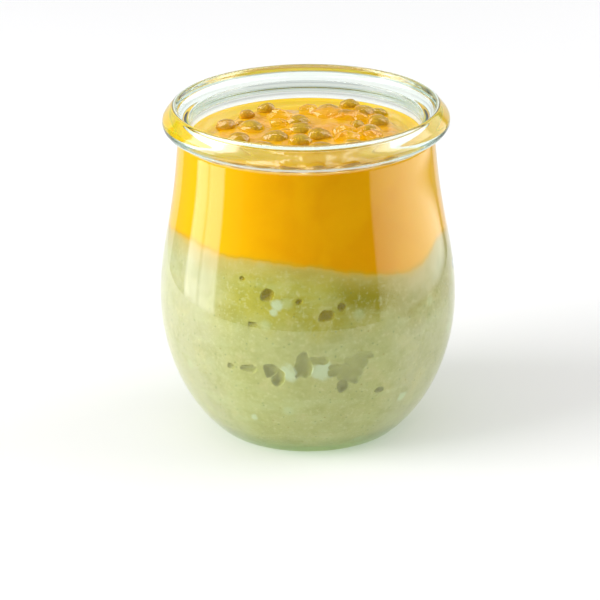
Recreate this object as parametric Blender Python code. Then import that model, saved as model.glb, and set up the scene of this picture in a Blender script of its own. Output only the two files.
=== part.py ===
"""A coconut and green tea pudding under fruit puree and passion fruit, in its open glass jar.

Units are metres, +Z is up, and the origin is the centre of the jar's foot, on the table.
Places round the jar are azimuths: 0 at the front, which is -Y, growing towards +X.
"""

import math
import random

import bmesh
import bpy
from mathutils import Matrix, Vector

SEGMENTS = 64
GAP = 0.0003

# The jar's side, as (height, outer radius) stations that a smooth curve runs through
SIDE_STATIONS = [
    (0.001, 0.02295),
    (0.005, 0.02655),
    (0.010, 0.02990),
    (0.017, 0.03280),
    (0.024, 0.03475),
    (0.031, 0.03530),
    (0.038, 0.03515),
    (0.045, 0.03415),
    (0.059, 0.03165),
    (0.073, 0.03000),
]
SIDE_LEVELS = [0.070, 0.060, 0.051, 0.043, 0.035, 0.028, 0.021, 0.015, 0.010, 0.006, 0.003, 0.001]
INSIDE_LEVELS = [0.0039, 0.0050, 0.0080, 0.0130, 0.0190, 0.0260, 0.0340, 0.0430, 0.0540, 0.0660]
WALL = 0.0027

# The glass floor: its height, how far its rounded edge draws the wall in, and up to what height
FLOOR_HEIGHT = 0.0035
FLOOR_EDGE_DRAW = 0.0029
FLOOR_EDGE_TOP = 0.0065
FLOOR_EDGE_POWER = 2.5

# The foot: a flat ring to stand on, round a shallow hollow
FOOT_OUTER_RADIUS = 0.0205
FOOT_INNER_RADIUS = 0.0175
FOOT_HOLLOW_RADIUS = 0.0155
FOOT_HOLLOW_HEIGHT = 0.0010

# The rim: a neck, a shallow concave seat for a lid, a ridge round it and a fat bead outside
NECK_BOTTOM = (0.0274, 0.0740)
NECK_TOP = (0.0275, 0.0768)
SEAT_CENTRE = (0.0281, 0.0790)
SEAT_FILLET = 0.0020
RIDGE_CENTRE_RADIUS = 0.0312
RIDGE_FILLET = 0.0009
JAR_HEIGHT = 0.0800
BEAD_CENTRE = (0.0311, 0.0762)
BEAD_FILLET = 0.0027
BEAD_UNDERSIDE = (0.0303, 0.0731)

# The wavy line where the pudding meets the puree: a slow tilt, and a dip right of the front
LINE_HEIGHT = 0.0504
LINE_TILT = 0.0009
LINE_TILT_AZIMUTH = -60.0
LINE_DIP = 0.0044
LINE_DIP_AZIMUTH = 44.0
LINE_DIP_WIDTH = 22.0
CENTRE_LINE_HEIGHT = 0.0498

# Hollows left by air at the glass: azimuth, height, width, height of the hollow, depth
SEEN_HOLLOWS = [
    (-38.8, 0.0245, 0.0040, 0.0018, 0.0010),
    (-24.5, 0.0258, 0.0045, 0.0020, 0.0012),
    (-13.4, 0.0257, 0.0055, 0.0024, 0.0015),
    (-1.5, 0.0286, 0.0050, 0.0022, 0.0015),
    (17.0, 0.0257, 0.0080, 0.0028, 0.0016),
    (15.7, 0.0220, 0.0030, 0.0020, 0.0012),
    (-16.9, 0.0438, 0.0028, 0.0028, 0.0014),
    (7.2, 0.0392, 0.0032, 0.0020, 0.0012),
    (13.2, 0.0411, 0.0022, 0.0020, 0.0010),
    (30.7, 0.0189, 0.0022, 0.0018, 0.0010),
]
BACK_HOLLOWS = 7
BACK_HOLLOW_START = 75.0
BACK_HOLLOW_SWEEP = 210.0
BACK_HOLLOW_WIDTHS = (0.0026, 0.0056)
BACK_HOLLOW_HEIGHTS = (0.0260, 0.0400)
BACK_HOLLOW_SCATTER = 0.003

# The puree's top: a dish under the passion fruit, climbing to the glass all round
PUREE_EDGE_HEIGHT = 0.0725
DISH_DEPTH = 0.0019
DISH_SLOPE = 0.0040
DISH_RUN_OUT = 0.0010

# The passion fruit pulp: an uneven pool, wider at the front than at the back
PULP_RADIUS = 0.0240
PULP_LEAN = 0.0018
PULP_LEAN_AZIMUTH = 20.0
PULP_OUTLINE_WAVE = 0.0004
PULP_HEIGHT = 0.0728
PULP_EDGE = 0.0004
PULP_WAVE = 0.0002
PULP_OUTWARD_WAVES = 400
PULP_INWARD_WAVES = 250
UNDER_PULP_SHARES = (1.0, 0.92, 0.84, 0.45)

# The pieces of passion fruit that show plainly: x, y, length, azimuth of the long axis
SEEN_PIPS = [
    (-0.0193, 0.0011, 0.0052, 80),
    (-0.0140, 0.0097, 0.0050, 70),
    (-0.0100, 0.0145, 0.0050, 95),
    (-0.0123, -0.0007, 0.0076, 70),
    (-0.0069, -0.0071, 0.0070, 60),
    (-0.0059, 0.0086, 0.0060, 110),
    (-0.0005, -0.0026, 0.0062, 85),
    (-0.0005, 0.0029, 0.0060, 60),
    (-0.0012, 0.0110, 0.0058, 100),
    (0.0034, -0.0059, 0.0062, 70),
    (0.0031, 0.0116, 0.0060, 60),
    (0.0077, 0.0115, 0.0066, 75),
    (0.0070, 0.0026, 0.0064, 95),
    (0.0106, 0.0081, 0.0066, 55),
    (0.0107, 0.0154, 0.0056, 85),
    (0.0112, -0.0077, 0.0066, 110),
    (0.0129, 0.0009, 0.0064, 60),
    (0.0137, 0.0113, 0.0066, 80),
    (0.0148, -0.0039, 0.0062, 120),
    (0.0169, 0.0031, 0.0066, 110),
    (0.0172, 0.0135, 0.0052, 70),
    (0.0200, 0.0074, 0.0070, 100),
    (-0.0001, -0.0119, 0.0060, 80),
    (-0.0092, -0.0215, 0.0060, 95),
    (0.0005, -0.0222, 0.0062, 85),
    (0.0070, -0.0208, 0.0060, 75),
]
MORE_PIPS = 9
PIP_WIDTH_SHARE = 0.66
PIP_TOP_HEIGHT = 0.0751
PIP_SUNK_DEPTH = 0.0038
PIP_REACH_SHARE = 0.2
PIP_SPACING = 0.0060
PIP_LENGTHS = (0.0050, 0.0066)
PIP_HEADINGS = (40, 130)
MORE_PIPS_REACH = 0.0215
MORE_PIPS_BACK = -0.0080


def smooth_step(value):
    """0 up to 0, 1 from 1 on, and an even S between."""
    value = min(max(value, 0.0), 1.0)
    return value * value * (3.0 - 2.0 * value)


def side_slopes():
    """The curve's slope at each station: that of the chord between its neighbours."""
    slopes = []
    last = len(SIDE_STATIONS) - 1
    for index in range(last + 1):
        low_height, low_radius = SIDE_STATIONS[max(index - 1, 0)]
        high_height, high_radius = SIDE_STATIONS[min(index + 1, last)]
        slopes.append((high_radius - low_radius) / (high_height - low_height))
    return slopes


SIDE_SLOPES = side_slopes()


def outer_radius(height):
    """The jar's outer radius at a height of its side, on a cubic curve through the stations."""
    height = min(max(height, SIDE_STATIONS[0][0]), SIDE_STATIONS[-1][0])
    index = 0
    while index < len(SIDE_STATIONS) - 2 and height > SIDE_STATIONS[index + 1][0]:
        index += 1
    start, start_radius = SIDE_STATIONS[index]
    end, end_radius = SIDE_STATIONS[index + 1]
    span = end - start
    t = (height - start) / span
    start_part = (2 * t**3 - 3 * t**2 + 1) * start_radius
    end_part = (3 * t**2 - 2 * t**3) * end_radius
    start_turn = (t**3 - 2 * t**2 + t) * span * SIDE_SLOPES[index]
    end_turn = (t**3 - t**2) * span * SIDE_SLOPES[index + 1]
    return start_part + end_part + start_turn + end_turn


def inner_radius(height):
    """The jar's inner radius: the wall is one thickness square to the side, rounder at the floor."""
    step = 0.0005
    slope = (outer_radius(height + step) - outer_radius(height - step)) / (2 * step)
    radius = outer_radius(height) - WALL * math.sqrt(1 + slope * slope)
    above_floor = (height - FLOOR_HEIGHT) / (FLOOR_EDGE_TOP - FLOOR_HEIGHT)
    if above_floor < 1:
        radius -= FLOOR_EDGE_DRAW * (1 - max(above_floor, 0.0)) ** FLOOR_EDGE_POWER
    return radius


def food_radius(height):
    """How far from the axis the food reaches, a small gap inside the glass."""
    return inner_radius(height) - GAP


def arc(centre_radius, centre_height, fillet, start, end, steps):
    """Outline points on an arc, with its angles in degrees from straight outward."""
    points = []
    for step in range(steps + 1):
        angle = math.radians(start + (end - start) * step / steps)
        radius = centre_radius + fillet * math.cos(angle)
        points.append((radius, centre_height + fillet * math.sin(angle)))
    return points


def jar_outline():
    """The glass section, from the floor's centre up the inside, over the rim and down to the foot."""
    outline = [(0.0, FLOOR_HEIGHT), (inner_radius(FLOOR_HEIGHT), FLOOR_HEIGHT)]
    outline += [(inner_radius(height), height) for height in INSIDE_LEVELS]
    outline += [NECK_BOTTOM, NECK_TOP]
    outline += arc(*SEAT_CENTRE, SEAT_FILLET, -80, -10, 3)
    outline += arc(RIDGE_CENTRE_RADIUS, JAR_HEIGHT - RIDGE_FILLET, RIDGE_FILLET, 165, 38, 4)
    outline += arc(*BEAD_CENTRE, BEAD_FILLET, 30, -60, 4)
    outline.append(BEAD_UNDERSIDE)
    outline += [(outer_radius(height), height) for height in SIDE_LEVELS]
    outline.append((FOOT_OUTER_RADIUS, 0.0))
    outline.append((FOOT_INNER_RADIUS, 0.0))
    outline.append((FOOT_HOLLOW_RADIUS, 0.6 * FOOT_HOLLOW_HEIGHT))
    outline.append((0.0, FOOT_HOLLOW_HEIGHT))
    return outline


def line_height(azimuth):
    """The height of the wavy line between the two layers at the glass."""
    tilt = LINE_TILT * math.cos(math.radians(azimuth - LINE_TILT_AZIMUTH))
    from_dip = (azimuth - LINE_DIP_AZIMUTH + 180) % 360 - 180
    dip = LINE_DIP * math.exp(-((from_dip / LINE_DIP_WIDTH) ** 2))
    return LINE_HEIGHT + tilt - dip


def layer_height(radius_share, azimuth):
    """The height of the face between the layers, calmer towards the middle."""
    share = smooth_step(radius_share)
    return CENTRE_LINE_HEIGHT + share * (line_height(azimuth) - CENTRE_LINE_HEIGHT)


def pulp_radius(azimuth):
    """The uneven outline of the passion fruit pulp."""
    lean = PULP_LEAN * math.cos(math.radians(azimuth - PULP_LEAN_AZIMUTH))
    waves = math.sin(math.radians(3 * azimuth + 60)) + 0.6 * math.sin(math.radians(7 * azimuth))
    return PULP_RADIUS + lean + PULP_OUTLINE_WAVE * waves


def dish_height(radius, azimuth):
    """The top of the puree, low under the pulp and climbing to the glass outside it."""
    past_foot = radius - pulp_radius(azimuth) + DISH_SLOPE
    climb = smooth_step(past_foot / (DISH_SLOPE + DISH_RUN_OUT))
    return PUREE_EDGE_HEIGHT - DISH_DEPTH * (1 - climb)


def pulp_height(radius, azimuth):
    """The top of the pulp, gently uneven and thin at its edge."""
    angle = math.radians(azimuth)
    outward = math.sin(PULP_OUTWARD_WAVES * radius + 3 * angle)
    inward = math.sin(5 * angle - PULP_INWARD_WAVES * radius)
    fade = smooth_step((pulp_radius(azimuth) - radius) / DISH_SLOPE)
    edge = dish_height(radius, azimuth) + GAP + PULP_EDGE
    return edge + fade * (PULP_HEIGHT + PULP_WAVE * (outward + inward) - edge)


def place(radius, azimuth, height):
    """The point at a radius, an azimuth in degrees and a height."""
    angle = math.radians(azimuth)
    return Vector((radius * math.sin(angle), -radius * math.cos(angle), height))


def ring(point_at):
    """One ring of points, from a function of the azimuth."""
    return [point_at(360.0 * index / SEGMENTS) for index in range(SEGMENTS)]


def clear_scene():
    for thing in list(bpy.data.objects):
        bpy.data.objects.remove(thing, do_unlink=True)


def make_material(name, colour, roughness, alpha=1.0):
    """A Principled material with one colour."""
    material = bpy.data.materials.new(name)
    material.use_nodes = True
    shader = material.node_tree.nodes["Principled BSDF"]
    shader.inputs["Base Color"].default_value = (*colour, 1.0)
    shader.inputs["Roughness"].default_value = roughness
    shader.inputs["Metallic"].default_value = 0.0
    shader.inputs["Alpha"].default_value = alpha
    return material


def add_object(name, mesh, collection=None):
    """Links a new object that holds the mesh."""
    thing = bpy.data.objects.new(name, mesh)
    (collection or bpy.context.scene.collection).objects.link(thing)
    return thing


def finish_piece(thing, material, sharp_angle=40.0):
    """Gives a piece its material and smooth shading."""
    thing.data.materials.clear()
    thing.data.materials.append(material)
    thing.data.shade_smooth()
    thing.data.set_sharp_from_angle(angle=math.radians(sharp_angle))


def stacked_solid(name, rings, bottom, top):
    """A closed solid of rings of points, lowest first, closed by a centre point at each end."""
    shape = bmesh.new()
    rows = [[shape.verts.new(point) for point in points] for points in rings]
    lowest = shape.verts.new(bottom)
    highest = shape.verts.new(top)
    for index in range(SEGMENTS):
        after = (index + 1) % SEGMENTS
        for below, above in zip(rows, rows[1:]):
            shape.faces.new((below[index], below[after], above[after], above[index]))
        shape.faces.new((lowest, rows[0][after], rows[0][index]))
        shape.faces.new((highest, rows[-1][index], rows[-1][after]))
    mesh = bpy.data.meshes.new(name)
    shape.to_mesh(mesh)
    shape.free()
    return add_object(name, mesh)


def ellipsoid(name, centre, axes, sizes, collection):
    """A low ball stretched to the half sizes along three axes."""
    shape = bmesh.new()
    bmesh.ops.create_uvsphere(shape, u_segments=8, v_segments=5, radius=1.0)
    turn = Matrix(axes).transposed().to_4x4()
    stretch = Matrix.Diagonal((*sizes, 1.0))
    shape.transform(Matrix.Translation(centre) @ turn @ stretch)
    mesh = bpy.data.meshes.new(name)
    shape.to_mesh(mesh)
    shape.free()
    return add_object(name, mesh, collection)


def join_with_collection(thing, collection, operation):
    """Applies one Boolean with a whole collection, then removes the collection's objects."""
    modifier = thing.modifiers.new("join", "BOOLEAN")
    modifier.operation = operation
    modifier.operand_type = "COLLECTION"
    modifier.collection = collection
    modifier.solver = "EXACT"
    bpy.context.view_layer.update()
    graph = bpy.context.evaluated_depsgraph_get()
    result = bpy.data.meshes.new_from_object(thing.evaluated_get(graph))
    thing.modifiers.clear()
    thing.data = result
    for helper in list(collection.objects):
        bpy.data.objects.remove(helper, do_unlink=True)
    bpy.data.collections.remove(collection)


def new_collection(name):
    collection = bpy.data.collections.new(name)
    bpy.context.scene.collection.children.link(collection)
    return collection


def build_jar():
    """The glass: one turned section, with its seat, ridge and bead at the rim."""
    outline = jar_outline()
    mesh = bpy.data.meshes.new("jar")
    edges = [(index, index + 1) for index in range(len(outline) - 1)]
    mesh.from_pydata([(radius, 0.0, height) for radius, height in outline], edges, [])
    jar = add_object("jar", mesh)
    screw = jar.modifiers.new("turn", "SCREW")
    screw.steps = SEGMENTS
    screw.render_steps = SEGMENTS
    screw.use_merge_vertices = True
    screw.merge_threshold = 0.00001
    mesh.materials.append(make_material("jar_glass", (0.80, 0.86, 0.82), 0.03, alpha=0.35))


def hollow_places():
    """The air hollows seen at the front, then more by a seeded draw round the back."""
    hollows = list(SEEN_HOLLOWS)
    draw = random.Random(11)
    for index in range(BACK_HOLLOWS):
        share = (index + draw.uniform(0.1, 0.9)) / BACK_HOLLOWS
        azimuth = BACK_HOLLOW_START + BACK_HOLLOW_SWEEP * share
        width = draw.uniform(*BACK_HOLLOW_WIDTHS)
        height = draw.choice(BACK_HOLLOW_HEIGHTS)
        height += draw.uniform(-BACK_HOLLOW_SCATTER, BACK_HOLLOW_SCATTER)
        hollows.append((azimuth, height, width, 0.5 * width, 0.3 * width))
    return hollows


def build_pudding():
    """The green layer: it fills the jar's foot and belly up to the wavy line."""
    low = FLOOR_HEIGHT + GAP
    rings = [ring(lambda a: place(0.6 * food_radius(low), a, low))]
    for share in (0.0, 0.03, 0.09, 0.2, 0.33, 0.47, 0.61, 0.75, 0.88, 1.0):

        def side(azimuth, share=share):
            height = low + share * (line_height(azimuth) - low)
            return place(food_radius(height), azimuth, height)

        rings.append(ring(side))
    for share in (0.82, 0.5):

        def top(azimuth, share=share):
            radius = share * food_radius(line_height(azimuth))
            return place(radius, azimuth, layer_height(share, azimuth))

        rings.append(ring(top))
    pudding = stacked_solid("matcha_pudding", rings, (0, 0, low), (0, 0, CENTRE_LINE_HEIGHT))
    hollows = new_collection("hollows")
    for index, (azimuth, height, width, tall, depth) in enumerate(hollow_places()):
        out = place(1.0, azimuth, 0.0)
        up = Vector((0, 0, 1))
        centre = place(food_radius(height), azimuth, height)
        sizes = (width / 2, depth, tall / 2)
        ellipsoid(f"hollow_{index}", centre, (out.cross(up), out, up), sizes, hollows)
    join_with_collection(pudding, hollows, "DIFFERENCE")
    finish_piece(pudding, make_material("matcha_pudding", (0.36, 0.34, 0.09), 0.45))


def build_puree():
    """The orange layer: from the wavy line to the dish that holds the passion fruit."""
    rings = []
    for share in (0.5, 0.82, 1.0):

        def under(azimuth, share=share):
            radius = share * food_radius(line_height(azimuth) + GAP)
            return place(radius, azimuth, layer_height(share, azimuth) + GAP)

        rings.append(ring(under))
    for share in (0.33, 0.67, 1.0):

        def side(azimuth, share=share):
            low = line_height(azimuth) + GAP
            height = low + share * (PUREE_EDGE_HEIGHT - low)
            return place(food_radius(height), azimuth, height)

        rings.append(ring(side))
    edge = food_radius(PUREE_EDGE_HEIGHT)

    def brim(azimuth):
        radius = 0.5 * (edge + pulp_radius(azimuth))
        return place(radius, azimuth, dish_height(radius, azimuth))

    rings.append(ring(brim))
    for share in UNDER_PULP_SHARES:

        def top(azimuth, share=share):
            radius = share * pulp_radius(azimuth)
            return place(radius, azimuth, dish_height(radius, azimuth))

        rings.append(ring(top))
    bottom = (0, 0, CENTRE_LINE_HEIGHT + GAP)
    puree = stacked_solid("fruit_puree", rings, bottom, (0, 0, PUREE_EDGE_HEIGHT - DISH_DEPTH))
    finish_piece(puree, make_material("fruit_puree", (0.85, 0.32, 0.01), 0.3))


def pip_places():
    """The pieces seen plainly, then more by a seeded draw in the front part of the pulp."""
    pips = list(SEEN_PIPS)
    draw = random.Random(5)
    tries = 0
    while len(pips) < len(SEEN_PIPS) + MORE_PIPS and tries < 2000:
        tries += 1
        x = draw.uniform(-MORE_PIPS_REACH, MORE_PIPS_REACH)
        y = draw.uniform(-MORE_PIPS_REACH, MORE_PIPS_BACK)
        length = draw.uniform(*PIP_LENGTHS)
        heading = draw.uniform(*PIP_HEADINGS)
        apart = min(math.dist((x, y), pip[:2]) for pip in pips)
        if apart > PIP_SPACING and math.hypot(x, y) < MORE_PIPS_REACH:
            pips.append((x, y, length, heading))
    return pips


def pip_span(x, y, length):
    """The lowest and highest points of one piece, which stays clear of the puree's climbing edge."""
    radius = math.hypot(x, y)
    azimuth = math.degrees(math.atan2(x, -y))
    lowest = dish_height(radius + PIP_REACH_SHARE * length, azimuth) + GAP
    return max(lowest, PIP_TOP_HEIGHT - PIP_SUNK_DEPTH), PIP_TOP_HEIGHT


def build_topping():
    """The passion fruit: a pool of pulp with its seeds, each in its plump sac, fused on."""
    rings = []
    for share in reversed(UNDER_PULP_SHARES):

        def under(azimuth, share=share):
            radius = share * pulp_radius(azimuth)
            return place(radius, azimuth, dish_height(radius, azimuth) + GAP)

        rings.append(ring(under))
    for share in (0.98, 0.92, 0.8, 0.6, 0.35):

        def top(azimuth, share=share):
            radius = share * pulp_radius(azimuth)
            return place(radius, azimuth, pulp_height(radius, azimuth))

        rings.append(ring(top))
    bottom = (0, 0, PUREE_EDGE_HEIGHT - DISH_DEPTH + GAP)
    topping = stacked_solid("passion_fruit_topping", rings, bottom, (0, 0, PULP_HEIGHT))
    pips = new_collection("pips")
    for index, (x, y, length, heading) in enumerate(pip_places()):
        along = place(1.0, heading, 0.0)
        up = Vector((0, 0, 1))
        low, high = pip_span(x, y, length)
        sizes = (length / 2, PIP_WIDTH_SHARE * length / 2, (high - low) / 2)
        centre = Vector((x, y, (low + high) / 2))
        ellipsoid(f"pip_{index}", centre, (along, up.cross(along), up), sizes, pips)
    join_with_collection(topping, pips, "UNION")
    finish_piece(topping, make_material("passion_fruit_topping", (0.72, 0.36, 0.02), 0.2))


clear_scene()
build_jar()
build_pudding()
build_puree()
build_topping()
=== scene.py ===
import math
import random

import bmesh
import bpy
import numpy as np
from mathutils import Matrix, Vector, noise


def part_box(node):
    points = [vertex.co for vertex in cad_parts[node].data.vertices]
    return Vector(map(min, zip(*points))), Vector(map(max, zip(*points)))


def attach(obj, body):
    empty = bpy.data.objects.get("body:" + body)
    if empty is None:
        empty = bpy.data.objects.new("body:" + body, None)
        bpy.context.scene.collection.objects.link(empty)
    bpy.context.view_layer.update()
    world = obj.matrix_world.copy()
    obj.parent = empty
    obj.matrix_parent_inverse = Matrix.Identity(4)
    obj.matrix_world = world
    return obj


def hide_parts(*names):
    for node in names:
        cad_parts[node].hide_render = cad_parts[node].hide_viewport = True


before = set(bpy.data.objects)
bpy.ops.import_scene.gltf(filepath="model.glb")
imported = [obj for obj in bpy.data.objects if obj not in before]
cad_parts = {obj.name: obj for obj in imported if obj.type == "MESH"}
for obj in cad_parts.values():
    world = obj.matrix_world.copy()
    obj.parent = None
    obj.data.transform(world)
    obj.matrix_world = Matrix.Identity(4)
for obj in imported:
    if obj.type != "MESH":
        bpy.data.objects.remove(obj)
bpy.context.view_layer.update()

# Looks of a coconut and green tea pudding under fruit puree and passion fruit, in its glass jar.
# Lengths are metres and places round the jar are azimuths in degrees: 0 at the front, which is
# -Y, growing towards +X. Colours are linear.

JAR_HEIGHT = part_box("jar")[1].z
PUREE_EDGE_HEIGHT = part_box("fruit_puree")[1].z
# How far the contents reach into the glass, so that no air shows between them
SINK = 0.00012

# The jar's side as (height, outer radius) stations, and its wall and floor
SIDE_STATIONS = [
    (0.001, 0.02295),
    (0.005, 0.02655),
    (0.010, 0.02990),
    (0.017, 0.03280),
    (0.024, 0.03475),
    (0.031, 0.03530),
    (0.038, 0.03515),
    (0.045, 0.03415),
    (0.059, 0.03165),
    (0.073, 0.03000),
]
SIDE_DEGREE = 6
SIDE_BOTTOM = 0.001
SIDE_TOP = 0.0725
SIDE_STEPS = 90
WALL = 0.0027
FLOOR_HEIGHT = 0.0035
FLOOR_EDGE_DRAW = 0.0029
FLOOR_EDGE_TOP = 0.0065
FLOOR_EDGE_POWER = 2.5
FOOT_OUTLINE = [
    (0.0220, 0.0003),
    (0.0205, 0.0),
    (0.0175, 0.0),
    (0.0155, 0.0006),
    (0.0, 0.0010),
]

# The rim: a neck, a shallow concave seat for a lid, a ridge round it and a bead outside, with
# the angles that the arcs start and end at
NECK_BOTTOM = (0.0274, 0.0740)
NECK_TOP = (0.0275, 0.0768)
SEAT_CENTRE = (0.0281, 0.0790)
SEAT_FILLET = 0.0020
SEAT_ARC = (-80, -10)
RIDGE_CENTRE_RADIUS = 0.0311
RIDGE_FILLET = 0.0006
RIDGE_ARC = (165, 38)
BEAD_CENTRE = (0.0315, 0.0762)
BEAD_FILLET = 0.0023
BEAD_ARC = (38, -60)
BEAD_UNDERSIDE = (0.0306, 0.0735)

# The glass mesh: how far its corners are eased, and its ring spacing, fine at the rim and foot
JAR_SEGMENTS = 320
GLASS_EASE = 0.00022
EASE_STEPS = 10
EASE_REACH = 3 * EASE_STEPS
GLASS_FINE = 0.00028
GLASS_COARSE = 0.0014
FINE_RIM_BOTTOM = SIDE_TOP - 0.001
FINE_FOOT_TOP = 0.006
FINE_FOOT_RADIUS = 0.014

# The wavy line between the layers, as (azimuth, height, width) bumps on a slow tilt, with fine
# ripples as (waves round the jar, start angle, share)
LINE_HEIGHT = 0.0504
LINE_TILT = 0.0009
LINE_TILT_AZIMUTH = -60.0
LINE_BUMPS = [
    (44, -0.0044, 22),
    (-91, -0.0010, 12),
    (-59, 0.0009, 14),
    (-21, 0.0006, 10),
    (17, -0.0008, 10),
    (42, 0.0004, 8),
    (70, 0.0011, 9),
    (91, -0.0009, 10),
]
LINE_RIPPLE = 0.00009
LINE_RIPPLES = [(23, 0, 1.0), (37, 50, 1.0), (83, 20, 0.7)]
CENTRE_LINE_HEIGHT = 0.0498
LAYER_SHARES = (0.3, 0.6, 0.8, 0.95)

# The pudding's mesh: where its hollows show, its columns there and behind, and its rows as
# (low share, high share, count) bands, with one row close under the line
HOLLOW_AZIMUTHS = (-44, 38)
FRONT_COLUMNS = 329
BACK_COLUMNS = 226
PUDDING_BANDS = [
    (0, 0.08, 12),
    (0.08, 0.29, 16),
    (0.29, 0.58, 64),
    (0.58, 0.69, 8),
    (0.69, 0.97, 62),
    (0.97, 1, 4),
]
LAST_ROW = 0.9994
BOTTOM_SHARES = (0.25, 0.5, 0.75, 0.9)

# The puree's mesh: its columns, its rows with one close over the line, and how far its rings
# at the top are from the glass, which it creeps up
PUREE_COLUMNS = 400
PUREE_ROWS = 89
FIRST_ROW = 0.0012
UNDER_OVERLAP = 0.0001
TOP_INSETS = np.concatenate([np.linspace(0.0, 0.0012, 6)[1:], np.linspace(0.0015, 0.0095, 24)])
CREEP_HEIGHT = 0.0006
CREEP_WIDTH = 0.0005
TOP_DROP = 0.0004

# The dish in the puree's top, and the pool of pulp in it
DISH_DEPTH = 0.0019
DISH_SLOPE = 0.0040
DISH_RUN_OUT = 0.0010
PULP_RADIUS = 0.0240
PULP_LEAN = 0.0018
PULP_LEAN_AZIMUTH = 20.0
PULP_OUTLINE_WAVE = 0.0004
PULP_OUTLINE_WAVES = [(3, 60, 1.0), (7, 0, 0.6)]
PULP_HEIGHT = 0.0728
PULP_WAVE = 0.0002
PULP_OUTWARD_WAVES = (400, 3)
PULP_INWARD_WAVES = (250, 5)
PULP_EDGE = 0.0045
PULP_EDGE_SINK = 0.0002

# The pulp's mesh and its ripples as (noise scale, noise place, height)
PULP_COLUMNS = 560
PULP_RINGS = 150
PULP_RIPPLES = [(330, 3.0, 0.00022), (1100, 9.0, 0.00007)]
PULP_RIPPLE_FADE = 12
PULP_RIM_SHARE = 0.99
PULP_RIM_DEPTH = 0.0008

# The pulp drawn up round a piece of the usual length and golden near it, the widths as shares
# of its length, and a broad mound behind as x, y, its two half widths and its height
USUAL_PIP = 0.006
PULP_CLIMB = 0.0008
CLIMB_WIDTH = 0.60
GOLDEN_REACH = 0.80
GOLDEN_FADE = 0.35
MOUND = (0.0070, 0.0085, 0.0080, 0.0060, 0.0008)

# Air hollows at the glass: azimuth, height, width, height of the hollow, depth
SEEN_HOLLOWS = [
    (-32.5, 0.0254, 0.0018, 0.0014, 0.0006),
    (-24.5, 0.0256, 0.0046, 0.0017, 0.0009),
    (-15.2, 0.0256, 0.0041, 0.0038, 0.0015),
    (-12.6, 0.0242, 0.0030, 0.0049, 0.0015),
    (-2.2, 0.0272, 0.0046, 0.0058, 0.0016),
    (2.6, 0.0284, 0.0059, 0.0020, 0.0009),
    (11.4, 0.0266, 0.0042, 0.0019, 0.0009),
    (12.8, 0.0256, 0.0062, 0.0032, 0.0014),
    (16.4, 0.0246, 0.0059, 0.0052, 0.0016),
    (19.6, 0.0272, 0.0051, 0.0043, 0.0011),
    (22.8, 0.0288, 0.0041, 0.0019, 0.0007),
    (13.6, 0.0214, 0.0027, 0.0032, 0.0016),
    (-16.9, 0.0436, 0.0031, 0.0029, 0.0018),
    (7.2, 0.0392, 0.0036, 0.0024, 0.0015),
    (13.2, 0.0411, 0.0024, 0.0020, 0.0012),
    (-3.7, 0.0426, 0.0013, 0.0011, 0.0007),
    (-28.0, 0.0469, 0.0016, 0.0009, 0.0007),
    (-22.3, 0.0368, 0.0020, 0.0010, 0.0008),
    (30.7, 0.0189, 0.0022, 0.0015, 0.0010),
]

# More hollows by a seeded draw round the back, and how ragged all of them are
BACK_HOLLOWS = 7
BACK_HOLLOW_START = 75.0
BACK_HOLLOW_SWEEP = 210.0
BACK_HOLLOW_PLACE = (0.1, 0.9)
BACK_HOLLOW_WIDTHS = (0.0026, 0.0056)
BACK_HOLLOW_HEIGHTS = (0.0260, 0.0400)
BACK_HOLLOW_SCATTER = 0.003
BACK_HOLLOW_TALL = 0.5
BACK_HOLLOW_DEEP = 0.3
HOLLOW_RAGGED = 0.45
HOLLOW_RAGGED_SCALE = 520
HOLLOW_RAGGED_STEP = 7.3

# Pale coconut blobs at the glass: azimuth, height, half size
PALE_BLOBS = [
    (-7.6, 0.0254, 0.0025),
    (5.4, 0.0258, 0.0028),
    (-12.5, 0.0418, 0.0014),
    (-14.0, 0.0400, 0.0010),
    (45.0, 0.0150, 0.0013),
    (-26.0, 0.0120, 0.0010),
]

# The green's tones: warmer towards the puree, cooler at both sides, each given as the azimuths
# where it starts and is full, where it is full and ends, and its strength, and deeper in patches
# given as azimuth, height, half width in degrees, half height and strength. Their borders wave,
# as (height of the waves, waves round the jar, start).
WARM_HEIGHTS = (0.0320, 0.0400)
COOL_SIDES = [(-26, -52, -120, -150, 1.0), (26, 50, 120, 160, 0.9)]
TONE_WAVES = [(0.0012, 7, 1.0), (0.0008, 17, 0.0), (0.0004, 41, 0.0)]
DEEP_PATCHES = [
    (24, 0.0415, 17, 0.0055, 1.0),
    (50, 0.0395, 22, 0.0050, 0.75),
    (80, 0.0400, 22, 0.0060, 0.6),
    (2, 0.0405, 12, 0.0040, 0.35),
    (170, 0.0400, 40, 0.0060, 0.7),
]

# The pudding's colours
GREEN = (0.466, 0.440, 0.163)
WARM_GREEN = (0.478, 0.405, 0.066)
COOL_GREEN = (0.510, 0.464, 0.265)
DEEP_GREEN = (0.325, 0.255, 0.016)
DULL_GREEN = (0.30, 0.28, 0.05)
PALE_GREEN = (0.60, 0.63, 0.33)
BEIGE = (0.60, 0.51, 0.24)
COCONUT = (0.55, 0.62, 0.36)
GRAIN = (0.64, 0.60, 0.32)
TEA = (0.17, 0.23, 0.08)
RUST = (0.34, 0.23, 0.03)
BROAD_STAIN = (0.56, 0.375, 0.090)
STAIN = (0.68, 0.405, 0.070)
LINE_COLOUR = (0.70, 0.370, 0.020)
BLOB = (0.58, 0.62, 0.41)
# Painted shade in the air hollows: cooler low down, warmer near the puree
COOL_HOLLOW_SHADE = (0.400, 0.370, 0.100)
WARM_HOLLOW_SHADE = (0.44, 0.335, 0.006)

# Stains under the puree: colour, how far the border sways, where it starts and is full in
# millimetres under the line, and its strength
STAINS = [
    (BROAD_STAIN, 6.0, 9.5, 3.0, 0.60),
    (STAIN, 3.0, 3.4, 1.2, 0.6),
    (LINE_COLOUR, 0.8, 1.2, 0.3, 0.8),
]
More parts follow.
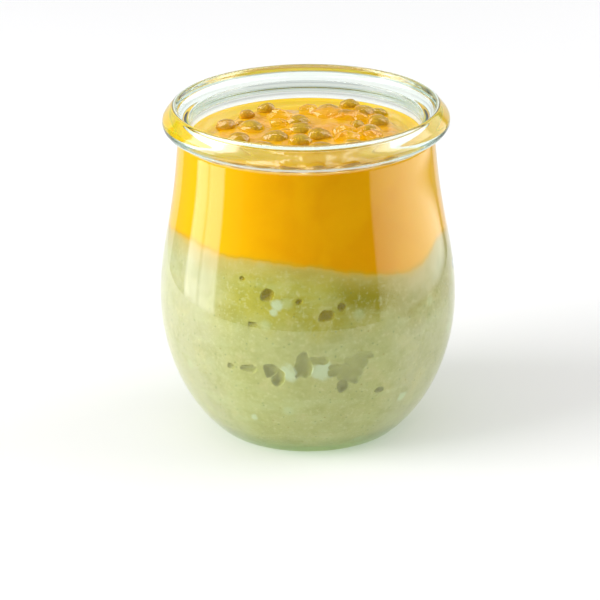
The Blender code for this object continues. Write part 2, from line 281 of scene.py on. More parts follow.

# The puree: deep, light and yellower colours of its side and its top, the yellower one painted
# light that shows away from its middle
PUREE_SIDE = ((0.79, 0.320, 0.002), (0.85, 0.380, 0.003), (0.86, 0.430, 0.003))
PUREE_TOP = ((0.88, 0.50, 0.008), (0.93, 0.60, 0.012), (0.94, 0.60, 0.010))
# The painted light on the puree: the azimuth where it is least, and the turns from there where it
# starts and over which it grows full
PAINTED_LIGHT_MIDDLE = 12.0
PAINTED_LIGHT_START = 16.0
PAINTED_LIGHT_SWEEP = 45.0

# The passion fruit's colours, two for each part with a blend between them
GEL = ((0.92, 0.66, 0.008), (0.95, 0.80, 0.060))
GEL_SHADOW = (0.985, 0.92, 0.50)
SEED = ((0.60, 0.270, 0.006), (0.60, 0.430, 0.030))
SEED_PITS = (0.24, 0.13, 0.010)
PULP = ((0.78, 0.370, 0.012), (0.86, 0.480, 0.090))
THIN_PULP = (0.92, 0.66, 0.26)
EDGE_PULP = (0.91, 0.55, 0.008)
GOLDEN_PULP = (0.82, 0.450, 0.005)

# The glass: its own colour, what it lets through to light, and its tint where it is thick
GLASS = (0.985, 0.995, 0.985)
GLASS_SHADOW = (0.97, 0.985, 0.97)
GLASS_TINT = (0.62, 0.90, 0.74)
GLASS_TINT_DENSITY = 48.0
GLASS_IOR = 1.5
GEL_IOR = 1.40

# The pieces of passion fruit that show plainly: x, y, sac length, azimuth of the long axis, sac
# width, its seed's length, both as shares of the sac's length, and 0 for amber to 1 for olive
SEEN_PIPS = [
    (-0.0191, 0.0025, 0.0049, 85, 0.80, 0.80, 0.1),
    (-0.0141, 0.0107, 0.0039, 90, 0.80, 0.80, 0.0),
    (-0.0154, 0.0048, 0.0026, 90, 0.70, 0.76, 0.1),
    (-0.0095, 0.0150, 0.0044, 95, 0.70, 0.80, 0.5),
    (-0.0132, 0.0005, 0.0071, 60, 0.86, 0.58, 0.9),
    (-0.0073, -0.0070, 0.0066, 75, 0.74, 0.78, 0.6),
    (-0.0020, 0.0042, 0.0061, 90, 0.70, 0.67, 1.0),
    (-0.0012, -0.0014, 0.0071, 85, 0.66, 0.65, 0.9),
    (0.0030, -0.0055, 0.0061, 85, 0.70, 0.73, 0.6),
    (0.0058, 0.0125, 0.0071, 85, 0.80, 0.65, 0.6),
    (0.0082, 0.0085, 0.0081, 100, 0.80, 0.56, 0.5),
    (0.0104, 0.0160, 0.0051, 90, 0.70, 0.76, 0.6),
    (0.0138, 0.0110, 0.0056, 100, 0.80, 0.80, 0.4),
    (0.0168, 0.0040, 0.0056, 110, 0.84, 0.71, 0.6),
    (0.0122, 0.0022, 0.0039, 80, 0.80, 0.65, 0.9),
    (0.0175, 0.0150, 0.0044, 90, 0.70, 0.71, 1.0),
    (0.0145, -0.0034, 0.0071, 110, 0.80, 0.39, 1.0),
    (-0.0015, -0.0100, 0.0056, 85, 0.80, 0.67, 1.0),
    (-0.0100, -0.0150, 0.0073, 95, 0.74, 0.76, 0.2),
    (0.0035, -0.0158, 0.0068, 80, 0.74, 0.73, 0.3),
    (0.0108, -0.0142, 0.0066, 100, 0.74, 0.71, 0.6),
    (-0.0160, -0.0085, 0.0061, 80, 0.74, 0.73, 0.3),
]

# Clear lumps of gel without a seed: x, y, length, azimuth of the long axis, width share
SEEN_SACS = [
    (-0.0060, 0.0086, 0.0064, 85, 0.62),
    (-0.0064, 0.0030, 0.0044, 80, 0.70),
    (0.0052, 0.0092, 0.0092, 75, 0.72),
    (0.0100, 0.0072, 0.0074, 110, 0.72),
    (0.0010, 0.0118, 0.0056, 70, 0.80),
    (0.0092, -0.0030, 0.0060, 80, 0.74),
    (0.0096, -0.0080, 0.0062, 85, 0.70),
    (0.0152, -0.0070, 0.0050, 100, 0.80),
    (0.0128, 0.0062, 0.0040, 100, 0.70),
    (-0.0046, -0.0022, 0.0038, 90, 0.66),
]

# More pieces by a seeded draw, and the height that no piece passes
MORE_PIPS = 7
MORE_PIPS_TRIES = 2000
MORE_PIPS_REACH = 0.0215
MORE_PIPS_BACK = -0.0110
PIP_SPACING = 0.0058
PIP_LENGTHS = (0.0050, 0.0064)
PIP_HEADINGS = (50, 130)
PIP_WIDTH = 0.76
PIP_SEEDS = (0.6, 0.74)
PIP_TOP_HEIGHT = 0.0756

# How each piece lies and is shaped, the pairs being ranges for a seeded draw: tip and roll in
# degrees, height and lift as shares of its half length and its height, taper and lumps
PIP_TIP = (-10, 10)
PIP_ROLL = (-15, 15)
PIP_HIGH = (0.64, 0.76)
PIP_LIFT = (0.0, 0.2)
PIP_TAPER = (0.05, 0.15)
PIP_LUMPS = 0.12
SEED_ASIDE = (0.0, 0.5)
SEED_LIFT = 0.14
SEED_WIDTH = 0.70
SEED_HIGH = 0.72
SEED_TAPER = 0.18
SEED_LUMPS = 0.05
GEL_HIGH = 0.62
GEL_LIFT = 0.2
GEL_TAPER = 0.12
GEL_LUMPS = 0.25
LUMP_SCALE = 1.7
LUMP_STEP = 5.1
SEED_LUMPS_FROM = 50
GEL_LUMPS_FROM = 90

# The camera: distance from its aim, height angle, and the aim beside and above the foot
CAMERA_DISTANCE = 0.700
CAMERA_ELEVATION = math.radians(21.71)
CAMERA_AIM = Vector((-0.00190, 0.0, 0.03031))
CAMERA_ROLL = math.radians(-0.615)
CAMERA_LENS = 174.54
SENSOR = 36.0

# The soft lights: name, azimuth, height angle, width, height and radiance
SOFT_BOXES = [
    ("left_box", -75, 22, 0.60, 0.80, 4.8),
    ("right_box", 100, 22, 0.80, 0.80, 1.8),
]
BOX_DISTANCE = 0.9
BOX_AIM = Vector((0, 0, 0.05))

# The floor, the near part of it that the glass mirrors, each as radius and depth, and its glow
# under the clear foot, full up to the first radius and gone from the second on
FLOORS = {"floor": (3.0, 0.00005), "near_floor": (0.178, 0.00002)}
FLOOR_COLUMNS = 96
FLOOR_COLOUR = (0.93, 0.93, 0.935)
FOOT_GLOW_COLOUR = (0.88, 1.0, 0.92)
FOOT_GLOW_RADII = (0.0170, 0.0212)
FOOT_GLOW = 0.50

# The room that only mirrors see, as (azimuth, brightness) and (elevation, share): tall soft
# boxes at both sides with a dark room in front, brighter light high up, and a pale backdrop
MIRRORED_ROUND = [
    (-180, 0.0), (-112, 0.0), (-109, 4.4), (-96, 4.4), (-94.6, 2.2), (-93.4, 2.2), (-92, 4.4),
    (-77, 4.4), (-75, 0.15), (-57, 0.12), (-55, 0.0), (55, 0.0), (57, 1.6), (72, 2.4),
    (95, 3.0), (120, 3.0), (142, 2.6), (145, 0.0), (180, 0.0),
]
MIRRORED_UP = [(-90, 0.0), (-15.5, 0.0), (-12.8, 1.0), (82, 1.0), (86, 0.0), (90, 0.0)]
HIGH_ROUND = [
    (-180, 1.0), (-116, 1.0), (-112, 11.0), (-76, 11.0), (-70, 0.5), (66, 0.5), (72, 7.0),
    (120, 7.0), (126, 1.0), (180, 1.0),
]
HIGH_UP = [(-90, 0.0), (12, 0.0), (20, 1.0), (78, 1.0), (84, 0.3), (90, 0.3)]
BACKDROP_ROUND = [
    (-180, 1.0), (-140, 1.0), (-138, 0.22), (-112, 0.15), (-75, 0.01), (75, 0.01), (143, 0.4),
    (148, 0.4), (151, 1.1), (180, 1.0),
]

# The clear room that shows through the glass, a little darker in front, the level that lights
# the jar from all sides, and the one that the camera sees behind it
CLEAR_LEVEL = 1.0
DARKER_ROUND = [(-180, 0.0), (-60, 0.0), (-40, 0.2), (40, 0.2), (60, 0.0), (180, 0.0)]
FILL_LEVEL = 0.78
SEEN_LEVEL = 1.0


def smooth_step(value):
    """0 up to 0, 1 from 1 on, and an even S between, for numbers and arrays."""
    value = np.clip(value, 0.0, 1.0)
    return value * value * (3.0 - 2.0 * value)


def between(value, start, full):
    """An even S from 0 at one limit to 1 at the other, which may be the lower one."""
    return smooth_step((value - start) / (full - start))


def apart_round(azimuths, azimuth):
    """Degrees from one azimuth to others, -180 to 180."""
    return (azimuths - azimuth + 180) % 360 - 180


def waves_round(azimuths, waves):
    """The sum of waves round the jar, each as (count, start angle, share)."""
    return sum(share * np.sin(np.radians(count * azimuths + start)) for count, start, share in waves)


SIDE_CURVE = np.polynomial.Polynomial.fit(*zip(*SIDE_STATIONS), SIDE_DEGREE)
SIDE_SLOPE = SIDE_CURVE.deriv()


def inner_radius(height):
    """The jar's inner radius at heights of its side, drawn in at the rounded floor edge."""
    height = np.asarray(height, float)
    radius = SIDE_CURVE(height) - WALL * np.sqrt(1 + SIDE_SLOPE(height) ** 2)
    above_floor = (height - FLOOR_HEIGHT) / (FLOOR_EDGE_TOP - FLOOR_HEIGHT)
    return radius - FLOOR_EDGE_DRAW * (1 - np.clip(above_floor, 0, 1)) ** FLOOR_EDGE_POWER


def arc(centre_radius, centre_height, fillet, start, end, steps=12):
    """Outline points on an arc, with its angles in degrees from straight outward."""
    angles = np.radians(np.linspace(start, end, steps + 1))
    radii = centre_radius + fillet * np.cos(angles)
    return list(zip(radii, centre_height + fillet * np.sin(angles)))


def glass_outline():
    """The glass section, from the floor's centre up the inside, over the rim and down to the foot."""
    inside = np.linspace(FLOOR_HEIGHT, SIDE_TOP, SIDE_STEPS)
    outline = [(0.0, FLOOR_HEIGHT)]
    outline += list(zip(inner_radius(inside), inside))
    outline += [NECK_BOTTOM, NECK_TOP]
    outline += arc(*SEAT_CENTRE, SEAT_FILLET, *SEAT_ARC)
    outline += arc(RIDGE_CENTRE_RADIUS, JAR_HEIGHT - RIDGE_FILLET, RIDGE_FILLET, *RIDGE_ARC)
    outline += arc(*BEAD_CENTRE, BEAD_FILLET, *BEAD_ARC)
    outline.append(BEAD_UNDERSIDE)
    side = np.linspace(SIDE_TOP, SIDE_BOTTOM, SIDE_STEPS)
    outline += list(zip(SIDE_CURVE(side), side))
    return np.array(outline + FOOT_OUTLINE)


def along(points):
    """The running length at each point of an outline."""
    steps = np.hypot(*np.diff(points, axis=0).T)
    return np.concatenate([[0.0], np.cumsum(steps)])


def eased_outline(points):
    """The outline with its corners eased, and points close together at the rim and the foot."""
    length = along(points)
    step = GLASS_EASE / EASE_STEPS
    even = np.arange(0.0, length[-1], step)
    dense = np.stack([np.interp(even, length, points[:, k]) for k in (0, 1)], 1)
    kernel = np.exp(-0.5 * (np.arange(-EASE_REACH, EASE_REACH + 1) / EASE_STEPS) ** 2)
    kernel /= kernel.sum()
    before = 2 * dense[:1] - dense[EASE_REACH:0:-1]
    after = 2 * dense[-1:] - dense[-2:-EASE_REACH - 2:-1]
    padded = np.concatenate([before, dense, after])
    eased = np.stack([np.convolve(padded[:, k], kernel, "valid") for k in (0, 1)], 1)
    eased[0, 0] = eased[-1, 0] = 0.0
    kept = [0]
    for index, (radius, height) in enumerate(eased):
        at_foot = height < FINE_FOOT_TOP and radius > FINE_FOOT_RADIUS
        spacing = GLASS_FINE if height > FINE_RIM_BOTTOM or at_foot else GLASS_COARSE
        if (index - kept[-1]) * GLASS_EASE / EASE_STEPS >= spacing:
            kept.append(index)
    kept[-1] = len(eased) - 1
    return eased[kept]


def ring_points(radii, azimuths, heights):
    """Points from arrays of radius, azimuth in degrees and height."""
    angle = np.radians(azimuths)
    shape = np.broadcast(radii, angle, heights).shape
    points = np.empty(shape + (3,))
    points[..., 0] = radii * np.sin(angle)
    points[..., 1] = -radii * np.cos(angle)
    points[..., 2] = heights
    return points


def ringed_mesh(name, rings, low_point=None, high_point=None):
    """A mesh of rings of points, lowest first, each end closed by a fan where a point is given."""
    rows, columns = rings.shape[:2]
    index = np.arange(rows * columns).reshape(rows, columns)
    after = np.roll(index, -1, axis=1)
    quads = np.stack([index[:-1], after[:-1], after[1:], index[1:]], -1).reshape(-1, 4)
    points = rings.reshape(-1, 3).tolist()
    faces = quads.tolist()
    if low_point is not None:
        points.append(tuple(low_point))
        centre = len(points) - 1
        faces += [(centre, after[0, k], index[0, k]) for k in range(columns)]
    if high_point is not None:
        points.append(tuple(high_point))
        centre = len(points) - 1
        faces += [(centre, index[-1, k], after[-1, k]) for k in range(columns)]
    mesh = bpy.data.meshes.new(name)
    mesh.from_pydata(points, [], faces)
    mesh.shade_smooth()
    return mesh


def add_piece(name, mesh, materials, node):
    """Links a mesh as a piece of the object that stands for a CAD node."""
    piece = bpy.data.objects.new(name, mesh)
    bpy.context.scene.collection.objects.link(piece)
    for material in materials:
        mesh.materials.append(material)
    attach(piece, "root")
    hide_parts(node)
    return piece


def set_attribute(mesh, name, values):
    """A number for each point that the material reads."""
    layer = mesh.attributes.new(name, "FLOAT", "POINT")
    layer.data.foreach_set("value", np.asarray(values, np.float32))


# Materials

def add_node(tree, kind, inputs=None, **settings):
    """Adds a node; its inputs are values or sockets to link."""
    made = tree.nodes.new(kind)
    for key, value in settings.items():
        setattr(made, key, value)
    for key, value in (inputs or {}).items():
        if isinstance(value, bpy.types.NodeSocket):
            tree.links.new(value, made.inputs[key])
        else:
            made.inputs[key].default_value = value
    return made


def new_material(name):
    """An empty node material: its tree and output node."""
    material = bpy.data.materials.new(name)
    material.use_nodes = True
    tree = material.node_tree
    tree.nodes.clear()
    return material, tree, tree.nodes.new("ShaderNodeOutputMaterial")


def math_of(tree, operation, first, second=0.0, third=0.0, clamp=False):
    made = add_node(tree, "ShaderNodeMath", {0: first, 1: second, 2: third}, operation=operation)
    made.use_clamp = clamp
    return made.outputs[0]


def ranged(tree, value, low, high, to_low=0.0, to_high=1.0):
    """A value's smooth place between two limits."""
    inputs = {"Value": value, "From Min": low, "From Max": high, "To Min": to_low, "To Max": to_high}
    made = add_node(tree, "ShaderNodeMapRange", inputs, interpolation_type="SMOOTHSTEP")
    return made.outputs[0]


def mixed(tree, factor, first, second):
    """A blend of two colours."""
    made = add_node(tree, "ShaderNodeMix", {"Factor": factor}, data_type="RGBA")
    for key, value in ((6, first), (7, second)):
        if isinstance(value, bpy.types.NodeSocket):
            tree.links.new(value, made.inputs[key])
        else:
            made.inputs[key].default_value = (*value, 1.0)
    return made.outputs[2]


def noise_of(tree, place, scale, detail=3.0, roughness=0.5, distortion=0.0):
    inputs = {"Vector": place, "Scale": scale, "Detail": detail, "Roughness": roughness}
    inputs["Distortion"] = distortion
    return add_node(tree, "ShaderNodeTexNoise", inputs).outputs["Fac"]


def spots_of(tree, place, scale, size, share, soft=0.3):
    """Round spots in a share of the cells of a pattern, 1 at their middle."""
    cells = add_node(tree, "ShaderNodeTexVoronoi", {"Vector": place, "Scale": scale})
    spot = ranged(tree, cells.outputs["Distance"], size * (1 + soft), size * (1 - soft))
    draw = add_node(tree, "ShaderNodeSeparateColor", {"Color": cells.outputs["Color"]})
    chosen = math_of(tree, "LESS_THAN", draw.outputs[0], share)
    return math_of(tree, "MULTIPLY", spot, chosen)


def place_of(tree):
    """The place on the piece."""
    return add_node(tree, "ShaderNodeTexCoord").outputs["Object"]


def attribute_of(tree, name):
    """A number that the mesh gives for each point."""
    return add_node(tree, "ShaderNodeAttribute", attribute_name=name).outputs["Fac"]


def tinted(tree, colour, tint, field, strength):
    """A colour under a tint, as strong as given where the field is 1."""
    return mixed(tree, math_of(tree, "MULTIPLY", field, strength), colour, tint)


def bump_of(tree, height, distance, strength):
    inputs = {"Height": height, "Distance": distance, "Strength": strength}
    return add_node(tree, "ShaderNodeBump", inputs).outputs[0]


def principled(tree, inputs):
    return add_node(tree, "ShaderNodeBsdfPrincipled", inputs).outputs[0]


def lets_light_in(tree, shader, tint):
    """The shader as seen, but a clear tint to shadows and to light already scattered."""
    path = add_node(tree, "ShaderNodeLightPath").outputs
    either = math_of(tree, "MAXIMUM", path["Is Shadow Ray"], path["Is Diffuse Ray"])
    clear = add_node(tree, "ShaderNodeBsdfTransparent", {"Color": (*tint, 1.0)})
    made = add_node(tree, "ShaderNodeMixShader", {0: either, 1: shader, 2: clear.outputs[0]})
    return made.outputs[0]


def glass_material():
    """Clear glass with a faint green tint where it is thick."""
    material, tree, output = new_material("jar_glass")
    shader = principled(tree, {
        "Base Color": (*GLASS, 1.0),
        "Roughness": 0.0,
        "IOR": GLASS_IOR,
        "Transmission Weight": 1.0,
    })
    tree.links.new(lets_light_in(tree, shader, GLASS_SHADOW), output.inputs[0])
    inputs = {"Color": (*GLASS_TINT, 1.0), "Density": GLASS_TINT_DENSITY}
    tint = add_node(tree, "ShaderNodeVolumeAbsorption", inputs)
    tree.links.new(tint.outputs[0], output.inputs["Volume"])
    return material


def pudding_material():
    """Moist green pudding: mottles and streaks, pale coconut, fine tea specks, and air hollows
    darkened by painted shade.
    """
    material, tree, output = new_material("matcha_pudding")
    place = place_of(tree)
    warm = attribute_of(tree, "warm")
    colour = mixed(tree, warm, GREEN, WARM_GREEN)
    colour = mixed(tree, attribute_of(tree, "cool"), colour, COOL_GREEN)
    colour = mixed(tree, attribute_of(tree, "deep"), colour, DEEP_GREEN)
    dull = ranged(tree, noise_of(tree, place, 190, 6, 0.66, 0.3), 0.42, 0.68)
    colour = tinted(tree, colour, mixed(tree, 0.6, colour, DULL_GREEN), dull, 0.62)
    beige = ranged(tree, noise_of(tree, place, 150, 5, 0.65), 0.50, 0.70)
    colour = tinted(tree, colour, BEIGE, beige, 0.40)
    flat = {0: place, 1: (1.0, 1.0, 2.8)}
    flat = add_node(tree, "ShaderNodeVectorMath", flat, operation="MULTIPLY").outputs[0]
    streaks = ranged(tree, noise_of(tree, flat, 85, 5, 0.62, 0.3), 0.44, 0.74)
    colour = tinted(tree, colour, mixed(tree, 0.5, colour, PALE_GREEN), streaks, 0.55)
    colour = tinted(tree, colour, COCONUT, spots_of(tree, place, 190, 0.26, 0.13, 0.5), 0.35)
    grain = ranged(tree, noise_of(tree, place, 1100, 3, 0.6), 0.52, 0.70)
    colour = tinted(tree, colour, GRAIN, grain, 0.36)
    colour = tinted(tree, colour, TEA, spots_of(tree, place, 850, 0.17, 0.30), 0.55)
    colour = tinted(tree, colour, RUST, spots_of(tree, place, 600, 0.12, 0.16), 0.6)
    under = attribute_of(tree, "under_line")
    wander = noise_of(tree, place, 90, 3)
    for stain, sway, start, full, strength in STAINS:
        field = ranged(tree, math_of(tree, "MULTIPLY_ADD", wander, sway, under), start, full)
        colour = tinted(tree, colour, stain, field, strength)
    uneven = math_of(tree, "MULTIPLY_ADD", noise_of(tree, place, 420, 3, 0.6), 1.6, -0.8)
    blob = ranged(tree, math_of(tree, "ADD", attribute_of(tree, "blob"), uneven), 0.15, 1.05)
    colour = tinted(tree, colour, BLOB, blob, 0.80)
    # Painted shade: the air hollows darker towards their middles
    hollow_shade = ranged(tree, attribute_of(tree, "hollow_shade"), 0.0, 0.15)
    colour = mixed(tree, hollow_shade, colour, mixed(tree, warm, COOL_HOLLOW_SHADE, WARM_HOLLOW_SHADE))
    shader = principled(tree, {
        "Base Color": colour,
        "Roughness": 0.5,
        "Specular IOR Level": 0.1,
        "Subsurface Weight": 0.2,
        "Subsurface Radius": (1.0, 0.8, 0.3),
        "Subsurface Scale": 0.0008,
    })
    tree.links.new(shader, output.inputs[0])
    return material


def puree_material(name, colours, specular, roughness):
    """Smooth fruit puree with soft streaks and pinhead specks, yellower away from its middle as
    painted light.
    """
    deep, light, painted_light = colours
    material, tree, output = new_material(name)
    place = place_of(tree)
    soft = ranged(tree, noise_of(tree, place, 70, 4, 0.55, 0.5), 0.3, 0.7)
    colour = mixed(tree, soft, deep, light)
    # Painted light: yellower away from the middle
    colour = mixed(tree, attribute_of(tree, "painted_light"), colour, painted_light)
    above = attribute_of(tree, "above_line")
    wander = noise_of(tree, place, 260, 3)
    touching = ranged(tree, math_of(tree, "MULTIPLY_ADD", wander, 1.2, above), 1.7, 0.5)
    colour = tinted(tree, colour, LINE_COLOUR, touching, 0.8)
    paler = tuple(min(1.0, part * 1.08 + 0.01) for part in light)
    colour = tinted(tree, colour, paler, spots_of(tree, place, 900, 0.16, 0.35), 0.3)
    shader = principled(tree, {
        "Base Color": colour,
        "Normal": bump_of(tree, noise_of(tree, place, 2600, 2), 0.00002, 0.3),
        "Roughness": roughness,
        "Specular IOR Level": specular,
        "Subsurface Weight": 0.35,
        "Subsurface Radius": (1.0, 0.55, 0.08),
        "Subsurface Scale": 0.0025,
    })
    tree.links.new(shader, output.inputs[0])
    return material


def gel_material():
    """The clear amber sac round a seed, cloudy in places."""
    material, tree, output = new_material("sac_gel")
    place = place_of(tree)
    cloud = ranged(tree, noise_of(tree, place, 260, 3), 0.35, 0.65)
    shader = principled(tree, {
        "Base Color": mixed(tree, cloud, *GEL),
        "Normal": bump_of(tree, noise_of(tree, place, 700, 3), 0.0002, 0.4),
        "Roughness": 0.05,
        "IOR": GEL_IOR,
        "Transmission Weight": 0.86,
    })
    tree.links.new(lets_light_in(tree, shader, GEL_SHADOW), output.inputs[0])
    return material


def seed_material():
    """Amber and olive seeds, finely pitted under a thin coat of gel."""
    material, tree, output = new_material("seeds")
    colour = mixed(tree, attribute_of(tree, "olive"), *SEED)
    cells = {"Vector": place_of(tree), "Scale": 2200.0}
    pits = add_node(tree, "ShaderNodeTexVoronoi", cells).outputs[0]
    colour = tinted(tree, colour, SEED_PITS, ranged(tree, pits, 0.25, 0.6), 0.6)
    shader = principled(tree, {
        "Base Color": colour,
        "Normal": bump_of(tree, pits, 0.0001, 0.25),
        "Roughness": 0.3,
        "Coat Weight": 1.0,
        "Coat Roughness": 0.06,
    })
    tree.links.new(shader, output.inputs[0])
    return material


def pulp_material():
    """Wet golden pulp between the seeds."""
    material, tree, output = new_material("pulp")
    place = place_of(tree)
    cloud = ranged(tree, noise_of(tree, place, 160, 4, 0.6, 1.0), 0.38, 0.66)
    colour = mixed(tree, cloud, *PULP)
    thin = ranged(tree, noise_of(tree, place, 420, 4, 0.6, 2.0), 0.54, 0.72)
    colour = tinted(tree, colour, THIN_PULP, thin, 0.45)
    colour = mixed(tree, attribute_of(tree, "edge"), colour, EDGE_PULP)
    colour = tinted(tree, colour, GOLDEN_PULP, attribute_of(tree, "near_sac"), 0.8)
    shader = principled(tree, {
        "Base Color": colour,
        "Normal": bump_of(tree, noise_of(tree, place, 1300, 3, 0.5, 0.8), 0.00010, 0.4),
        "Roughness": 0.10,
        "Subsurface Weight": 0.3,
        "Subsurface Radius": (1.0, 0.7, 0.2),
        "Subsurface Scale": 0.0010,
    })
    tree.links.new(shader, output.inputs[0])
    return material


# The jar

def build_jar():
    outline = eased_outline(glass_outline())
    azimuths = 360.0 * np.arange(JAR_SEGMENTS) / JAR_SEGMENTS
    upside = outline[::-1]
    rings = ring_points(upside[1:-1, 0][:, None], azimuths, upside[1:-1, 1][:, None])
    low_point = (0, 0, upside[0, 1])
    high_point = (0, 0, upside[-1, 1])
    mesh = ringed_mesh("glass_jar", rings, low_point, high_point)
    add_piece("glass_jar", mesh, [glass_material()], "jar")


# The two layers behind the glass

def line_height(azimuth):
    """The height of the wavy line between the layers at the glass."""
    height = LINE_HEIGHT + LINE_TILT * np.cos(np.radians(azimuth - LINE_TILT_AZIMUTH))
    for middle, rise, width in LINE_BUMPS:
        height = height + rise * np.exp(-((apart_round(azimuth, middle) / width) ** 2))
    return height + LINE_RIPPLE * waves_round(azimuth, LINE_RIPPLES)


def pudding_azimuths():
    """Azimuths of the columns, close together where hollows show at the front."""
    start, end = HOLLOW_AZIMUTHS
    front = np.linspace(start, end, FRONT_COLUMNS)
    back = np.linspace(end, start + 360, BACK_COLUMNS)[1:-1]
    return np.concatenate([front, back])


def pudding_shares():
    """Heights of the rows as shares of the side, close together where the hollows are."""
    rows = [np.linspace(low, high, count + 1)[:-1] for low, high, count in PUDDING_BANDS]
    return np.concatenate(rows + [[LAST_ROW, 1.0]])


def all_hollows():
    """The hollows seen at the front, then more by a seeded draw round the back."""
    hollows = list(SEEN_HOLLOWS)
    draw = random.Random(11)
    for index in range(BACK_HOLLOWS):
        share = (index + draw.uniform(*BACK_HOLLOW_PLACE)) / BACK_HOLLOWS
        width = draw.uniform(*BACK_HOLLOW_WIDTHS)
        height = draw.choice(BACK_HOLLOW_HEIGHTS)
        height += draw.uniform(-BACK_HOLLOW_SCATTER, BACK_HOLLOW_SCATTER)
        azimuth = BACK_HOLLOW_START + BACK_HOLLOW_SWEEP * share
        hollows.append((azimuth, height, width, BACK_HOLLOW_TALL * width, BACK_HOLLOW_DEEP * width))
    return hollows


def hollow_field(azimuths, heights, radii):
    """How deep the air hollows are at each point of the side, and how shut in, 0 to 1, which sets
    their painted shade.
    """
    depth = np.zeros(heights.shape)
    shade = np.zeros(heights.shape)
    for number, (azimuth, height, width, tall, deep) in enumerate(all_hollows()):
        across = np.radians(apart_round(azimuths, azimuth)) * radii
        upward = heights - height
        near = (np.abs(across) < width) & (np.abs(upward) < tall)
        for row, column in zip(*np.nonzero(near)):
            x, y = across[row, column], upward[row, column]
            place = (x * HOLLOW_RAGGED_SCALE, y * HOLLOW_RAGGED_SCALE, number * HOLLOW_RAGGED_STEP)
            ragged = HOLLOW_RAGGED * noise.noise(Vector(place))
            reach = math.hypot(x / (width / 2), y / (tall / 2)) + ragged
            if reach < 1:
                depth[row, column] = max(depth[row, column], deep * math.sqrt(1 - reach**2))
                shade[row, column] = max(shade[row, column], 1 - reach**2)
    return depth, shade


def blob_field(azimuths, heights, radii):
    """How much of each pale coconut blob shows at each point of the side."""
    field = np.zeros(heights.shape)
    for azimuth, height, size in PALE_BLOBS:
        across = np.radians(apart_round(azimuths, azimuth)) * radii
        reach = (across / size) ** 2 + ((heights - height) / size) ** 2
        field = np.maximum(field, np.exp(-(reach**2)))
    return field


def tone_fields(azimuths, heights):
    """Where the green is warmer, cooler and deeper: 0 to 1 at each point of the side."""
    turn = apart_round(azimuths, 0)
    angle = np.radians(azimuths)
    wave = sum(size * np.sin(count * angle + start) for size, count, start in TONE_WAVES)
    cool = np.zeros(heights.shape)
    for start, full, full_end, end, strength in COOL_SIDES:
        side = between(turn, start, full) * between(turn, end, full_end)
        cool = np.maximum(cool, strength * side)
    deep = np.zeros(heights.shape)
    for azimuth, height, width, tall, strength in DEEP_PATCHES:
        across = (turn - azimuth) / width
        upward = (heights + wave - height) / tall
        deep = np.maximum(deep, strength * np.exp(-((across**2 + upward**2) ** 1.5)))
    return {"warm": between(heights + wave, *WARM_HEIGHTS), "cool": cool, "deep": deep}


def layer_rings(shares, radii, azimuths, edge, lowered=0.0):
    """Rings between the layers, from the line at the glass to a level middle."""
    rings = []
    for share in shares:
        height = CENTRE_LINE_HEIGHT + smooth_step(share) * (edge - CENTRE_LINE_HEIGHT)
        rings.append(ring_points(share * radii, azimuths, height - lowered))
    return rings


def build_pudding():
    azimuths = pudding_azimuths()
    low = FLOOR_HEIGHT - SINK
    edge = line_height(azimuths)
    heights = low + pudding_shares()[:, None] * (edge - low)
    radii = inner_radius(heights) + SINK
    around = np.broadcast_to(azimuths, heights.shape)
    depth, shade = hollow_field(around, heights, radii)
    side = ring_points(radii - depth, azimuths, heights)
    bottom = [ring_points(share * radii[0], azimuths, low) for share in BOTTOM_SHARES]
    top = layer_rings(reversed(LAYER_SHARES), radii[-1], azimuths, edge)
    rings = np.concatenate([bottom, side, top])
    mesh = ringed_mesh("green_pudding", rings, (0, 0, low), (0, 0, CENTRE_LINE_HEIGHT))
    fields = {
        # painted shade of the air hollows
        "hollow_shade": shade,
        "blob": blob_field(around, heights, radii),
        "under_line": 1000 * (edge - heights),
        **tone_fields(around, heights),
    }
    for name, field in fields.items():
        below = np.repeat(field[:1], len(bottom), axis=0)
        above = np.repeat(field[-1:], len(top), axis=0)
        set_attribute(mesh, name, np.append(np.concatenate([below, field, above]).ravel(), (0, 0)))
    add_piece("green_pudding", mesh, [pudding_material()], "matcha_pudding")


def pulp_radius(azimuth):
    """The uneven outline of the passion fruit pulp."""
    lean = PULP_LEAN * np.cos(np.radians(azimuth - PULP_LEAN_AZIMUTH))
    return PULP_RADIUS + lean + PULP_OUTLINE_WAVE * waves_round(azimuth, PULP_OUTLINE_WAVES)


def dish_height(radius, azimuth):
    """The top of the puree, low under the pulp and climbing to the glass outside it."""
    past_foot = radius - pulp_radius(azimuth) + DISH_SLOPE
    climb = smooth_step(past_foot / (DISH_SLOPE + DISH_RUN_OUT))
    return PUREE_EDGE_HEIGHT - DISH_DEPTH * (1 - climb)


